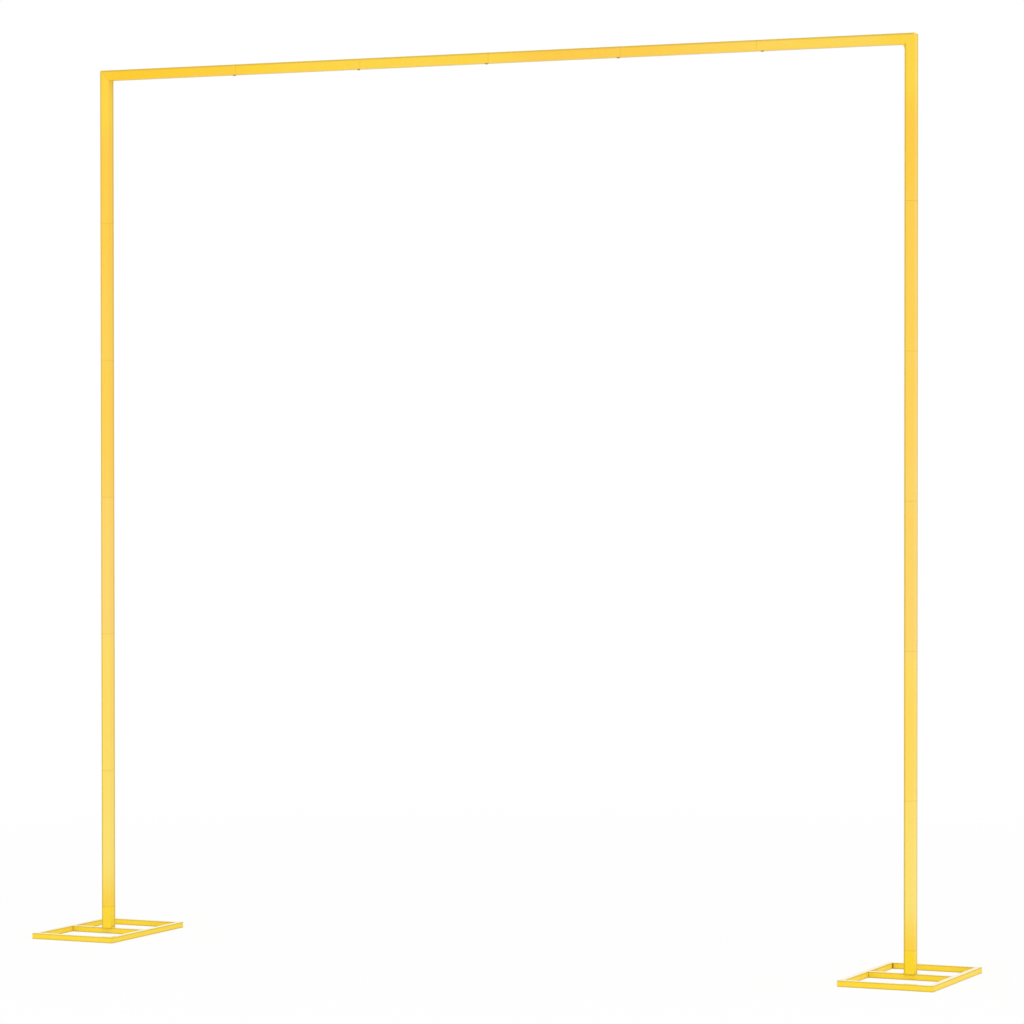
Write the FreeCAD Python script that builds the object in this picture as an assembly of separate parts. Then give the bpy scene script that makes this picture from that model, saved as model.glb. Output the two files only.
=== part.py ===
import FreeCAD, Part
import os
from collections import namedtuple

# Square metal wedding arch: two posts and a straight beam of push-together square
# tube, standing on two welded rectangular base frames.
# +X runs along the beam to the right, +Y to the rear and +Z up. The origin lies on
# the floor, midway between the two base frames. Lengths are in millimetres.

# Square tube of the posts and the beam
tube_size = 35.0
tube_wall = 1.0
tube_corner_radius = 2.0

# Lengths that show between one seam and the next
post_section_length = 480.0
beam_section_length = 480.0
corner_leg_length = 535.0
corner_arm_length = 540.0
socket_height = 75.0
post_section_count = 5
beam_section_count = 4

# Reduced neck that pushes into the next tube, behind a flat shoulder
neck_length = 60.0
neck_wall = 1.0
neck_clearance = 0.3
shoulder_thickness = 1.5

# Square tube and outline of each base frame
bar_size = 20.0
bar_wall = 1.2
bar_corner_radius = 1.5
base_width = 320.0
base_depth = 500.0

# Pan head screw that pins each push joint, and its holes
screw_diameter = 5.0
screw_length = 8.0
screw_head_diameter = 10.0
screw_head_height = 3.5
screw_head_rounding = 1.5
screw_setback = 14.0
screw_hole_clearance = 0.25
thread_clearance = 0.1
recess_span = 5.0
recess_width = 1.2
recess_depth = 1.6

# Cutting tools run this far past what they cut
overshoot = 5.0

# Places that follow from the sizes
frame_half_width = beam_section_count * beam_section_length / 2 + corner_arm_length
post_axis_x = frame_half_width - tube_size / 2
socket_top = bar_size + socket_height
frame_height = socket_top + post_section_count * post_section_length + corner_leg_length
beam_axis_z = frame_height - tube_size / 2
neck_size = tube_size - 2 * (tube_wall + neck_clearance)
neck_corner_radius = tube_corner_radius - tube_wall - neck_clearance

RIGHT = FreeCAD.Vector(1, 0, 0)
REAR = FreeCAD.Vector(0, 1, 0)
UP = FreeCAD.Vector(0, 0, 1)

# A joint's seam lies on the tube's axis. The outer tube lies on one side of the
# seam along the run, and the screw goes in through one of its faces.
Joint = namedtuple("Joint", "seam to_outer_tube screw_face")


def screw_seat(joint):
    """Point on the outer tube's face where the joint's screw goes in."""
    return joint.seam + joint.to_outer_tube * screw_setback + joint.screw_face * (tube_size / 2)


def post_joints(side):
    """Joints of one post from the socket up to the corner, on the left (-1) or right (+1)."""
    joints = []
    for number in range(post_section_count + 1):
        seam = FreeCAD.Vector(side * post_axis_x, 0, socket_top + number * post_section_length)
        joints.append(Joint(seam, UP, REAR))
    return joints


def beam_joints():
    """Joints of the beam from left to right. Only the last has its outer tube on the right."""
    joints = []
    for number in range(beam_section_count + 1):
        x = (number - beam_section_count / 2) * beam_section_length
        outer_side = RIGHT if number == beam_section_count else -RIGHT
        joints.append(Joint(FreeCAD.Vector(x, 0, beam_axis_z), outer_side, -UP))
    return joints


def rounded_prism(size, radius, low, high):
    """Square prism along Z from low to high, with its long edges rounded."""
    prism = Part.makeBox(size, size, high - low, FreeCAD.Vector(-size / 2, -size / 2, low))
    if radius <= 0:
        return prism
    long_edges = [edge for edge in prism.Edges if abs(edge.tangentAt(edge.FirstParameter).z) > 0.5]
    return prism.makeFillet(radius, long_edges)


def mitre_wedge(size, end, direction):
    """Wedge that cuts a tube along Z at 45 degrees and leaves its full length on +X."""
    reach = size / 2 + overshoot
    beyond_end = end + direction * overshoot
    short_side = end - direction * (size + overshoot)
    corners = [(reach, beyond_end), (-reach, short_side), (-reach, beyond_end)]
    points = [FreeCAD.Vector(x, -reach, z) for x, z in corners]
    face = Part.Face(Part.makePolygon(points + points[:1]))
    return face.extrude(FreeCAD.Vector(0, 2 * reach, 0))


def plain_tube(size, wall, radius, length, mitred_start=False, mitred_end=False):
    """Square tube along Z from 0 to length, its ends square or mitred."""
    tube = rounded_prism(size, radius, 0, length)
    tube = tube.cut(rounded_prism(size - 2 * wall, radius - wall, -overshoot, length + overshoot))
    if mitred_start:
        tube = tube.cut(mitre_wedge(size, 0, -1))
    if mitred_end:
        tube = tube.cut(mitre_wedge(size, length, 1))
    return tube


def necked_tube(length, neck_at_start=False, neck_at_end=False):
    """Post or beam tube along Z from 0 to length, with a hollow neck past each end asked for."""
    low = -neck_length if neck_at_start else 0
    high = length + neck_length if neck_at_end else length
    hollow_low = shoulder_thickness if neck_at_start else -overshoot
    hollow_high = length - shoulder_thickness if neck_at_end else length + overshoot
    tube = rounded_prism(tube_size, tube_corner_radius, 0, length)
    tube = tube.fuse(rounded_prism(neck_size, neck_corner_radius, low, high))
    tube = tube.cut(
        rounded_prism(tube_size - 2 * tube_wall, tube_corner_radius - tube_wall, hollow_low, hollow_high)
    )
    bore_size = neck_size - 2 * neck_wall
    bore_radius = neck_corner_radius - neck_wall
    return tube.cut(rounded_prism(bore_size, bore_radius, low - overshoot, high + overshoot))


def placed(shape, start, along, long_side):
    """Shape with its own origin at start, its Z along the run and its X towards long_side."""
    rotation = FreeCAD.Rotation(long_side, along.cross(long_side), along, "ZXY")
    moved = shape.copy()
    moved.Placement = FreeCAD.Placement(start, rotation)
    return moved


def drilled_outer(tube, joint):
    """Outer tube with the screw's clearance hole through its wall at the joint."""
    radius = screw_diameter / 2 + screw_hole_clearance
    start = screw_seat(joint) + joint.screw_face * overshoot
    depth = overshoot + tube_wall + neck_clearance / 2
    return tube.cut(Part.makeCylinder(radius, depth, start, -joint.screw_face))


def drilled_neck(tube, joint):
    """Tube with the screw's threaded hole through the wall of its neck at the joint."""
    radius = screw_diameter / 2 + thread_clearance
    start = screw_seat(joint) - joint.screw_face * (tube_wall + neck_clearance / 2)
    return tube.cut(Part.makeCylinder(radius, neck_clearance + neck_wall, start, -joint.screw_face))


def screw(joint):
    """Pan head screw with a cross recess, its head seated on the outer tube's face."""
    head = Part.makeCylinder(screw_head_diameter / 2, screw_head_height)
    top_edges = [edge for edge in head.Edges if edge.BoundBox.ZMin > screw_head_height / 2]
    head = head.makeFillet(screw_head_rounding, top_edges)
    shank = Part.makeCylinder(screw_diameter / 2, screw_length, FreeCAD.Vector(0, 0, -screw_length))
    body = head.fuse(shank)
    for length, width in ((recess_span, recess_width), (recess_width, recess_span)):
        corner = FreeCAD.Vector(-length / 2, -width / 2, screw_head_height - recess_depth)
        body = body.cut(Part.makeBox(length, width, recess_depth + overshoot, corner))
    return placed(body, screw_seat(joint), joint.screw_face, joint.to_outer_tube)


def base_frame(side):
    """Welded base frame and its socket, on the left (-1) or right (+1)."""
    centre_x = side * post_axis_x
    half_bar = bar_size / 2
    left_x = centre_x - base_width / 2
    front_y = -base_depth / 2
    edge_x = base_width / 2 - half_bar
    end_bar = plain_tube(bar_size, bar_wall, bar_corner_radius, base_width, True, True)
    side_bar = plain_tube(bar_size, bar_wall, bar_corner_radius, base_depth, True, True)
    cross_bar = plain_tube(bar_size, bar_wall, bar_corner_radius, base_width - 2 * bar_size)
    socket = placed(
        necked_tube(socket_height, neck_at_end=True), FreeCAD.Vector(centre_x, 0, bar_size), UP, RIGHT
    )

    def side_bar_at(offset):
        return placed(
            side_bar, FreeCAD.Vector(centre_x + offset * edge_x, front_y, half_bar), REAR, RIGHT * offset
        )

    return {
        "base_front_bar": placed(
            end_bar, FreeCAD.Vector(left_x, front_y + half_bar, half_bar), RIGHT, -REAR
        ),
        "base_rear_bar": placed(
            end_bar, FreeCAD.Vector(left_x, -front_y - half_bar, half_bar), RIGHT, REAR
        ),
        "base_outer_bar": side_bar_at(side),
        "base_inner_bar": side_bar_at(-side),
        "base_cross_bar": placed(
            cross_bar, FreeCAD.Vector(left_x + bar_size, 0, half_bar), RIGHT, REAR
        ),
        "base_socket": drilled_neck(socket, post_joints(side)[0]),
    }


def post(side):
    """Straight sections of one post and the leg of its mitred corner."""
    joints = post_joints(side)
    pieces = {}
    section = necked_tube(post_section_length, neck_at_end=True)
    for number in range(post_section_count):
        tube = placed(section, joints[number].seam, UP, RIGHT)
        tube = drilled_outer(tube, joints[number])
        pieces[f"post_section_{number + 1}"] = drilled_neck(tube, joints[number + 1])
    leg = plain_tube(tube_size, tube_wall, tube_corner_radius, corner_leg_length, mitred_end=True)
    leg = placed(leg, joints[-1].seam, UP, RIGHT * side)
    pieces["corner_leg"] = drilled_outer(leg, joints[-1])
    return pieces


def corner_arm(side, joint):
    """Arm of one mitred corner, from the beam's outermost joint to the frame's outer side."""
    arm = plain_tube(tube_size, tube_wall, tube_corner_radius, corner_arm_length, mitred_end=True)
    return drilled_outer(placed(arm, joint.seam, RIGHT * side, UP), joint)


def beam_section(number, joints):
    """One straight section of the beam. The last one has a neck at both ends."""
    is_last = number == beam_section_count - 1
    tube = necked_tube(beam_section_length, neck_at_start=is_last, neck_at_end=True)
    tube = placed(tube, joints[number + 1].seam, -RIGHT, UP)
    tube = drilled_neck(tube, joints[number])
    return drilled_neck(tube, joints[-1]) if is_last else drilled_outer(tube, joints[number + 1])


def build_arch():
    """All pieces of the arch by node name."""
    nodes = {}
    across = beam_joints()
    ends = {"left": (-1, across[0]), "right": (1, across[-1])}
    for side_name, (side, beam_joint) in ends.items():
        pieces = {**base_frame(side), **post(side), "corner_arm": corner_arm(side, beam_joint)}
        pieces["post_screws"] = Part.makeCompound([screw(joint) for joint in post_joints(side)])
        for piece_name, shape in pieces.items():
            nodes[f"{side_name}_{piece_name}"] = shape
    for number in range(beam_section_count):
        nodes[f"beam_section_{number + 1}"] = beam_section(number, across)
    nodes["beam_screws"] = Part.makeCompound([screw(joint) for joint in across])
    return nodes


os.makedirs("parts", exist_ok=True)
for node_name, node_shape in build_arch().items():
    node_shape.exportStep(f"parts/{node_name}.step")
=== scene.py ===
"""Dresses the square wedding arch with its finished surfaces and lights it.

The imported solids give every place. Each tube, bar, weld and set of screws is built again
as a closed surface worked out with numpy, in metres and in the same frame: +X runs along
the beam to the right, +Y to the rear and +Z up, with the origin on the floor.
"""

import logging
import math
from collections.abc import Iterator
from dataclasses import astuple, dataclass
from enum import Enum

import bpy
import numpy as np
from mathutils import Matrix, Vector


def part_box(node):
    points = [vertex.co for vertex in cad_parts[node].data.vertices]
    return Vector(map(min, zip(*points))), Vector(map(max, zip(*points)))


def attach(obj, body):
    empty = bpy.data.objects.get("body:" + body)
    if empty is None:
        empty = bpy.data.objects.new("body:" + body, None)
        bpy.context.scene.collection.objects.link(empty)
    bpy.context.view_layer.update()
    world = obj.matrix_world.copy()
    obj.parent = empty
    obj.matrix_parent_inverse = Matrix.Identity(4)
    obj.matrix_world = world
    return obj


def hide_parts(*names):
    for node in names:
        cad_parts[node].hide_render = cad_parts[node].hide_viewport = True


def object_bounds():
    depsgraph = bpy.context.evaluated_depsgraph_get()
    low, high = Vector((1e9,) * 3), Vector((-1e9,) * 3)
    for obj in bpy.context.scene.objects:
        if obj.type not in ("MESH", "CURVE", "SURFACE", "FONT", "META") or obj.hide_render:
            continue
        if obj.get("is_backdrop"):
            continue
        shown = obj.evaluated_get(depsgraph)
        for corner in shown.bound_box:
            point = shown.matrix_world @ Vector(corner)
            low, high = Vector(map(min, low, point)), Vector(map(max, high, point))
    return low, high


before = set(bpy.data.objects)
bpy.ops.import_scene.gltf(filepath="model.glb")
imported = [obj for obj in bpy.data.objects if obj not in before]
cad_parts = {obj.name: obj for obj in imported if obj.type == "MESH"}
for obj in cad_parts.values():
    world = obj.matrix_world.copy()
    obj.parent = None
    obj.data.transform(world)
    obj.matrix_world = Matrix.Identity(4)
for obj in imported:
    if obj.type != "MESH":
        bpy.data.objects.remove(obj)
cad_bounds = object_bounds()

log = logging.getLogger("wedding_arch")

Array = np.ndarray
MM = 0.001
QUARTER = math.pi / 2
RIGHT, REAR, UP = np.eye(3)
FAR = 0.1


class Side(Enum):
    """The two posts, with the sign of their place along X."""

    LEFT = -1
    RIGHT = 1

    @property
    def label(self) -> str:
        """Word that starts the names of this side's pieces."""
        return self.name.lower()

    @property
    def outward(self) -> Array:
        """Direction from the middle of the arch towards this side."""
        return RIGHT * self.value


class TubeEnd(Enum):
    """How one end of a tube is finished."""

    OPEN = "slides over the next tube's neck"
    NECK = "steps in to a neck that enters the next tube"
    MITRE = "cut at 45 degrees for a welded corner"
    BUTT = "cut square and welded against a face"

    @property
    def is_welded(self) -> bool:
        """Whether a weld holds this end."""
        return self in (TubeEnd.MITRE, TubeEnd.BUTT)


class Mark(Enum):
    """What each point of a surface tells its finish, kept in the mesh under this name."""

    EDGE = "distance_from_edge"
    SEAM = "distance_from_seam"
    WELD = "distance_from_weld"
    TONE = "tone_of_section"
    RUB = "rubbed_bright"


Marks = dict[Mark, Array]


@dataclass(frozen=True)
class Surface:
    """A closed surface: points, rows of point numbers (quads, then any triangles) and marks."""

    points: Array
    faces: list[Array]
    marks: Marks

    def face_normals(self, rows: Array) -> Array:
        """Cross product of each face's diagonals, where a triangle's last corner is its first."""
        first, second, third, last = (self.points[rows[:, i % rows.shape[1]]] for i in range(4))
        return np.cross(third - first, last - second)

    def point_normals(self) -> Array:
        """Normal at each point: the sum of its faces' normals, made one long.

        Returns:
            One row for each point.
        """
        total = np.zeros_like(self.points)
        for rows in self.faces:
            np.add.at(total, rows, self.face_normals(rows)[:, None, :])
        lengths = np.linalg.norm(total, axis=1, keepdims=True)
        return total / np.maximum(lengths, np.finfo(float).tiny)

    def facing_out(self) -> "Surface":
        """Turns the faces the other way round if the volume they enclose is negative.

        Returns:
            The surface with its faces pointing outwards.
        """
        volumes = (self.points[rows].mean(axis=1) * self.face_normals(rows) for rows in self.faces)
        if sum(float(volume.sum()) for volume in volumes) >= 0:
            return self
        return Surface(self.points, [rows[:, ::-1] for rows in self.faces], self.marks)


def joined(surfaces: list[Surface]) -> Surface:
    """Several surfaces with poles as one, each turned outwards first.

    Args:
        surfaces: The closed surfaces.

    Returns:
        One surface that holds them all.
    """
    parts = [surface.facing_out() for surface in surfaces]
    starts = np.cumsum([0] + [len(part.points) for part in parts])
    kinds = zip(*(part.faces for part in parts))
    return Surface(
        np.concatenate([part.points for part in parts]),
        [np.concatenate([rows + start for rows, start in zip(kind, starts)]) for kind in kinds],
        {mark: np.concatenate([part.marks[mark] for part in parts]) for mark in parts[0].marks},
    )


def ring_grid(points: Array, marks: Marks) -> Surface:
    """Closed surface of a grid that joins up both ways, as a tube's whole wall does.

    Point (i, j) makes a quad with (i + 1, j), (i + 1, j + 1) and (i, j + 1), counted round.

    Args:
        points: Rings by places round the ring by 3.
        marks: Marks of each point.

    Returns:
        The surface.
    """
    index = np.arange(points[..., 0].size).reshape(points.shape[:2])
    following, beside = np.roll(index, -1, axis=0), np.roll(index, -1, axis=1)
    quads = np.stack([index, following, np.roll(beside, -1, axis=0), beside], -1).reshape(-1, 4)
    flat_marks = {mark: values.ravel() for mark, values in marks.items()}
    return Surface(points.reshape(-1, 3), [quads], flat_marks)


def poled_grid(points: Array, marks: Marks) -> Surface:
    """Closed surface of rings whose first and last ring each close on one point.

    Args:
        points: Rings by places round the ring by 3.
        marks: Marks of each point.

    Returns:
        The surface, with a fan of triangles at each pole.
    """
    rings, around = points.shape[:2]
    index = np.arange((rings - 2) * around).reshape(rings - 2, around)
    beside = np.roll(index, -1, axis=1)
    quads = np.stack([index[:-1], index[1:], beside[1:], beside[:-1]], -1).reshape(-1, 4)
    first, last = np.full(around, index.size), np.full(around, index.size + 1)
    fans = [[first, index[0], beside[0]], [last, beside[-1], index[-1]]]
    triangles = np.concatenate([np.stack(fan, -1) for fan in fans])

    def with_poles(grid: Array) -> Array:
        """The inner rings as one list, then the mean of the first and of the last ring."""
        return np.concatenate([*grid[1:-1], grid[[0, -1]].mean(axis=1)])

    all_marks = {mark: with_poles(values) for mark, values in marks.items()}
    return Surface(with_poles(points), [quads, triangles], all_marks)


def box_of(node: str) -> tuple[Array, Array]:
    """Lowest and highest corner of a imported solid."""
    low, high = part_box(node)
    return np.array(low), np.array(high)


def add_object(name: str, data: bpy.types.ID) -> bpy.types.Object:
    """Puts a mesh, lamp or camera into the scene as an object at the origin.

    Args:
        name: Name of the object.
        data: The mesh, lamp or camera.

    Returns:
        The object.
    """
    thing = bpy.data.objects.new(name, data)
    bpy.context.scene.collection.objects.link(thing)
    return thing


@dataclass(frozen=True)
class Finish:
    """A material, with the record's slot that it belongs to."""

    material: bpy.types.Material
    slot: str


def make_piece(name: str, surface: Surface, finish: Finish, *nodes: str) -> None:
    """Puts a surface into the scene as a piece of the arch.

    Args:
        name: Name of the new piece.
        surface: Its closed surface.
        finish: Its finish.
        *nodes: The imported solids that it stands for.
    """
    surface = surface.facing_out()
    mesh = bpy.data.meshes.new(name)
    faces = sum((rows.tolist() for rows in surface.faces), [])
    mesh.from_pydata(surface.points.tolist(), [], faces)
    for mark, values in surface.marks.items():
        attribute = mesh.attributes.new(mark.value, "FLOAT", "POINT")
        attribute.data.foreach_set("value", values.astype(np.float32))
    mesh.polygons.foreach_set("use_smooth", np.ones(len(mesh.polygons), bool))
    mesh.normals_split_custom_set_from_vertices(surface.point_normals().tolist())
    mesh.materials.append(finish.material)
    piece = add_object(name, mesh)
    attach(piece, "root")
    if nodes:
        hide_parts(*nodes)
    log.info("%s: %d points, %d faces", name, len(mesh.vertices), len(mesh.polygons))


@dataclass(frozen=True)
class SquareStock:
    """Square tube as it is bought: outer width, wall and outer corner radius."""

    size: float
    wall: float
    corner_radius: float
    arc_steps: int = 6
    flat_steps: int = 12

    @property
    def half(self) -> float:
        """Half the outer width."""
        return self.size / 2

    @property
    def flat_half(self) -> float:
        """Half the width of a face's flat part, where the corner arcs are centred."""
        return self.half - self.corner_radius

    def ring(self) -> tuple[Array, Array, Array]:
        """Places round the tube: four quarter arcs joined by four flats.

        A ring of any half width h is anchor + (h - flat_half) * outward. On an arc the
        anchor stays on its centre while outward turns; on a flat the anchor moves to the
        next centre and outward stays square to the face.

        Returns:
            Anchors and outward directions as rows of X and Y, and distances from the arcs.
        """
        centres = self.flat_half * np.array([[1, 1], [-1, 1], [-1, -1], [1, -1]])
        arc = np.linspace(0.0, QUARTER, self.arc_steps + 1)
        flat = np.linspace(0.0, 1.0, self.flat_steps + 1)[1:-1, None]
        from_arc = 2 * self.flat_half * np.minimum(flat, 1 - flat)[:, 0]
        anchors, outwards = [], []
        for quarter, (centre, following) in enumerate(zip(centres, np.roll(centres, -1, axis=0))):
            turn = arc + quarter * QUARTER
            turned = np.stack([np.cos(turn), np.sin(turn)], -1)
            anchors += [np.tile(centre, (len(arc), 1)), centre + flat * (following - centre)]
            outwards += [turned, np.tile(turned[-1], (len(flat), 1))]
        distances = np.tile(np.concatenate([np.zeros(len(arc)), from_arc]), len(centres))
        return np.concatenate(anchors), np.concatenate(outwards), distances


@dataclass(frozen=True)
class Ring:
    """One ring of a wall: its place along the run, half width, tilt and loss off the long side."""

    place: float
    half: float
    slope: float = 0.0
    drop: float = 0.0


@dataclass(frozen=True)
class Tube:
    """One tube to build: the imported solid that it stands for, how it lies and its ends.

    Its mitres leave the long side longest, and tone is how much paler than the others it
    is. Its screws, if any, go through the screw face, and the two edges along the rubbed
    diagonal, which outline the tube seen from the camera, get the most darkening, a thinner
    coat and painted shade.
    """

    node: str
    along: Array
    long_side: Array
    start: TubeEnd
    end: TubeEnd
    tone: float = 0.0
    screw_face: Array | None = None
    # The diagonal whose two edges outline the tube seen from the camera and carry painted shade.
    rubbed: Array | None = None

    @property
    def axes(self) -> Array:
        """The tube's own X, Y and Z as rows: long side, cross direction and along."""
        return np.stack([self.long_side, np.cross(self.along, self.long_side), self.along])


@dataclass(frozen=True)
class ScrewSeat:
    """Where a screw's head sits: the point on the tube's face and the face's direction."""

    point: Array
    face: Array


@dataclass(frozen=True)
class TubeMaker:
    """Builds the closed wall of a tube or bar, ends and all, for one stock."""

    stock: SquareStock
    end_rounding: float = 0.4 * MM
    tip_rounding: float = 2.0 * MM
    rounding_steps: int = 5
    seam_gap: float = 0.2 * MM
    body_step: float = 40 * MM
    neck_length: float = 60 * MM
    neck_wall: float = 1.0 * MM
    neck_clearance: float = 0.3 * MM
    shoulder: float = 1.5 * MM
    screw_setback: float = 14 * MM
    dimple_depth: float = 0.3 * MM
    dimple_flat: float = 5.5 * MM
    dimple_reach: float = 10 * MM
    dimple_steps: int = 17
    # Painted shade on the edges that outline a tube seen from the camera: edges on its rubbed
    # diagonal count nearer, the rest further off, and distances across faces that look left or
    # right count less.
    off_outline_edge: float = 5.0 * MM
    outline_edge: float = 0.8 * MM
    side_reach: float = 0.5
    weld_cover: float = 6.0 * MM

    def span(self, tube: Tube) -> tuple[Array, float]:
        """Finds a tube's run from the box of its solid, less the necks.

        Args:
            tube: The tube.

        Returns:
            The point where the run starts, and its length.
        """
        low, high = box_of(tube.node)
        reach = float(np.abs(tube.along) @ (high - low))
        necks = [self.neck_length * (form is TubeEnd.NECK) for form in (tube.start, tube.end)]
        return (low + high) / 2 - tube.along * (reach / 2 - necks[0]), reach - sum(necks)

    def end_rings(self, form: TubeEnd, at: float, way: int) -> list[Ring]:
        """Rings that lead from the outer wall round one end to the inner wall.

        A square end's edge is a quarter circle: the ring moves by r * sin(t) along the run
        while its half width falls by r * (1 - cos(t)). A mitre's tip is half of one:
        r * (1 - cos(t)) comes off the long side while the ring's plane moves out by
        r * (cos(t) - sin(t)).

        Args:
            form: How the end is finished.
            at: Place of the end along the run.
            way: +1 for the run's end, -1 for its start.

        Returns:
            The rings in order.
        """
        outer, inner = self.stock.half, self.stock.half - self.stock.wall
        if form is TubeEnd.MITRE:
            turns = np.linspace(0.0, QUARTER / 2, self.rounding_steps)
            moves = way * self.tip_rounding * (np.cos(turns) - np.sin(turns))
            drops = self.tip_rounding * (1 - np.cos(turns))
            rings = [Ring(at - move, outer, way, drop) for move, drop in zip(moves, drops)]
            return rings + [Ring(at, inner, way)]
        face = at if form is TubeEnd.BUTT else at - way * self.seam_gap / 2
        turns = np.linspace(0.0, QUARTER, self.rounding_steps)
        moves, losses = (self.end_rounding * (1 - side) for side in (np.sin(turns), np.cos(turns)))
        rings = [Ring(face - way * move, outer - loss) for move, loss in zip(moves, losses)]
        if form is not TubeEnd.NECK:
            return rings + [Ring(face, inner), Ring(face - way * self.shoulder, inner)]
        neck, inside = inner - self.neck_clearance, at - way * self.shoulder
        bore, chamfer = neck - self.neck_wall, self.neck_wall / 2
        tip = at + way * self.neck_length
        places = (face, face + way * self.shoulder, tip - way * chamfer, tip, tip, inside, inside)
        halves = (neck, neck, neck, neck - chamfer, bore, bore, inner)
        return rings + [Ring(place, half) for place, half in zip(places, halves)]

    def wall_rings(self, length: float, screws: list[float]) -> list[Ring]:
        """Rings along the outer wall from start to end, close together round each screw.

        Args:
            length: Length of the run.
            screws: Places of the screws along it.

        Returns:
            The rings in order.
        """
        margin = min(2 * self.stock.size, length / 2 - self.dimple_reach)
        steps = max(2, round((length - 2 * margin) / self.body_step))
        round_screw = np.linspace(-self.dimple_reach, self.dimple_reach, self.dimple_steps)
        body = np.linspace(margin, length - margin, steps)
        places = np.concatenate([body, *(round_screw + at for at in screws)]).round(6)
        return [Ring(float(place), self.stock.half) for place in np.unique(places)]

    @staticmethod
    def nearest(place: Array, ends: tuple, is_welded: bool) -> Array:
        """Distance of each ring from the nearest end that is or isn't welded, at most FAR."""
        distances = [np.abs(place - at) for form, at, _ in ends if form.is_welded is is_welded]
        return np.min([np.full_like(place, FAR), *distances], axis=0)[:, None]

    def wall(self, tube: Tube) -> tuple[Surface, list[ScrewSeat]]:
        """The whole closed wall of one tube, and the seats of the screws in its open ends.

        Each ring is the stock's ring at that half width, with x no more than half - drop.
        Its points move along the run by slope * (x - half), which turns a square end into
        a mitre with its long side on +x. Long edges off the rubbed diagonal, where x * y
        has the other sign, count as further off, so that they darken less, and the two on it,
        which outline the tube seen from the camera, count as nearer, so that they carry
        painted shade. Across the faces that look left or right, distances count half, which
        widens that painted shade there.

        Args:
            tube: The tube to build.

        Returns:
            The surface and the seats.
        """
        origin, length = self.span(tube)
        setback = self.screw_setback
        ends = ((tube.start, 0.0, setback), (tube.end, length, length - setback))
        has_screws = tube.screw_face is not None
        screws = [place for form, _, place in ends if has_screws and form is TubeEnd.OPEN]
        rings = self.wall_rings(length, screws) + self.end_rings(tube.end, length, 1)
        rings += self.end_rings(tube.start, 0.0, -1)[::-1]
        place, half, slope, drop = np.array([astuple(ring) for ring in rings]).T
        anchor, outward, from_edge = self.stock.ring()
        across = anchor + (half[:, None, None] - self.stock.flat_half) * outward
        x = np.minimum(across[..., 0], self.stock.half - drop[:, None])
        z = place[:, None] + slope[:, None] * (x - self.stock.half)
        local = np.stack([x, across[..., 1], z], axis=-1)
        for screw in screws:
            local += self.dimple(local, half, outward, screw, tube.axes @ tube.screw_face)
        # Painted shade on the outline edges seen from the camera, widened across the side faces.
        if tube.rubbed is not None:
            along_x, along_y, _ = tube.axes @ tube.rubbed
            is_off_outline = np.sign(anchor[:, 0] * anchor[:, 1]) != np.sign(along_x * along_y)
            sideways = np.abs(outward @ (tube.axes @ RIGHT)[:2])
            from_edge = from_edge * (1 - self.side_reach * sideways)
            from_edge = from_edge + np.where(is_off_outline, self.off_outline_edge, -self.outline_edge)
        on_wall = (half > self.stock.half - self.end_rounding / 2)[:, None]
        even = np.ones((len(rings), len(from_edge)))
        marks = {
            Mark.EDGE: np.where(on_wall, from_edge, FAR),
            Mark.SEAM: even * self.nearest(place, ends, False),
            Mark.WELD: even * self.nearest(place, ends, True) + self.weld_cover,
            Mark.TONE: even * tube.tone,
        }
        sunk, face = self.stock.half - self.dimple_depth, tube.screw_face
        seats = [ScrewSeat(origin + tube.along * screw + face * sunk, face) for screw in screws]
        return ring_grid(origin + local @ tube.axes, marks), seats

    def dimple(self, local: Array, half: Array, outward: Array, at: float, face: Array) -> Array:
        """How far the face sinks round one screw: flat under its head, then a smooth step.

        Args:
            local: Grid of points on the tube's own axes.
            half: Half width of each ring.
            outward: Outward direction of each place round the ring.
            at: Place of the screw along the run.
            face: Direction of its face on the tube's own axes.

        Returns:
            The move of each point.
        """
        radius = np.hypot(local[..., 2] - at, local @ np.cross(face, UP))
        fade = np.clip((self.dimple_reach - radius) / (self.dimple_reach - self.dimple_flat), 0, 1)
        fade = fade * fade * (3 - 2 * fade)
        on_face = np.isclose(outward @ face[:2], 1) & np.isclose(half, self.stock.half)[:, None]
        return -self.dimple_depth * (fade * on_face)[..., None] * face

    def dress(self, tubes: list[Tube], finish: Finish) -> list[ScrewSeat]:
        """Builds tubes as painted pieces, in order.

        Args:
            tubes: The tubes.
            finish: Their paint.

        Returns:
            The seats of all their screws.
        """
        all_seats = []
        for tube in tubes:
            wall, seats = self.wall(tube)
            make_piece(f"painted_{tube.node}", wall, finish, tube.node)
            all_seats += seats
        return all_seats


def unit(vector: Array) -> Array:
    """The vector made one long."""
    return vector / np.linalg.norm(vector)


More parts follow.
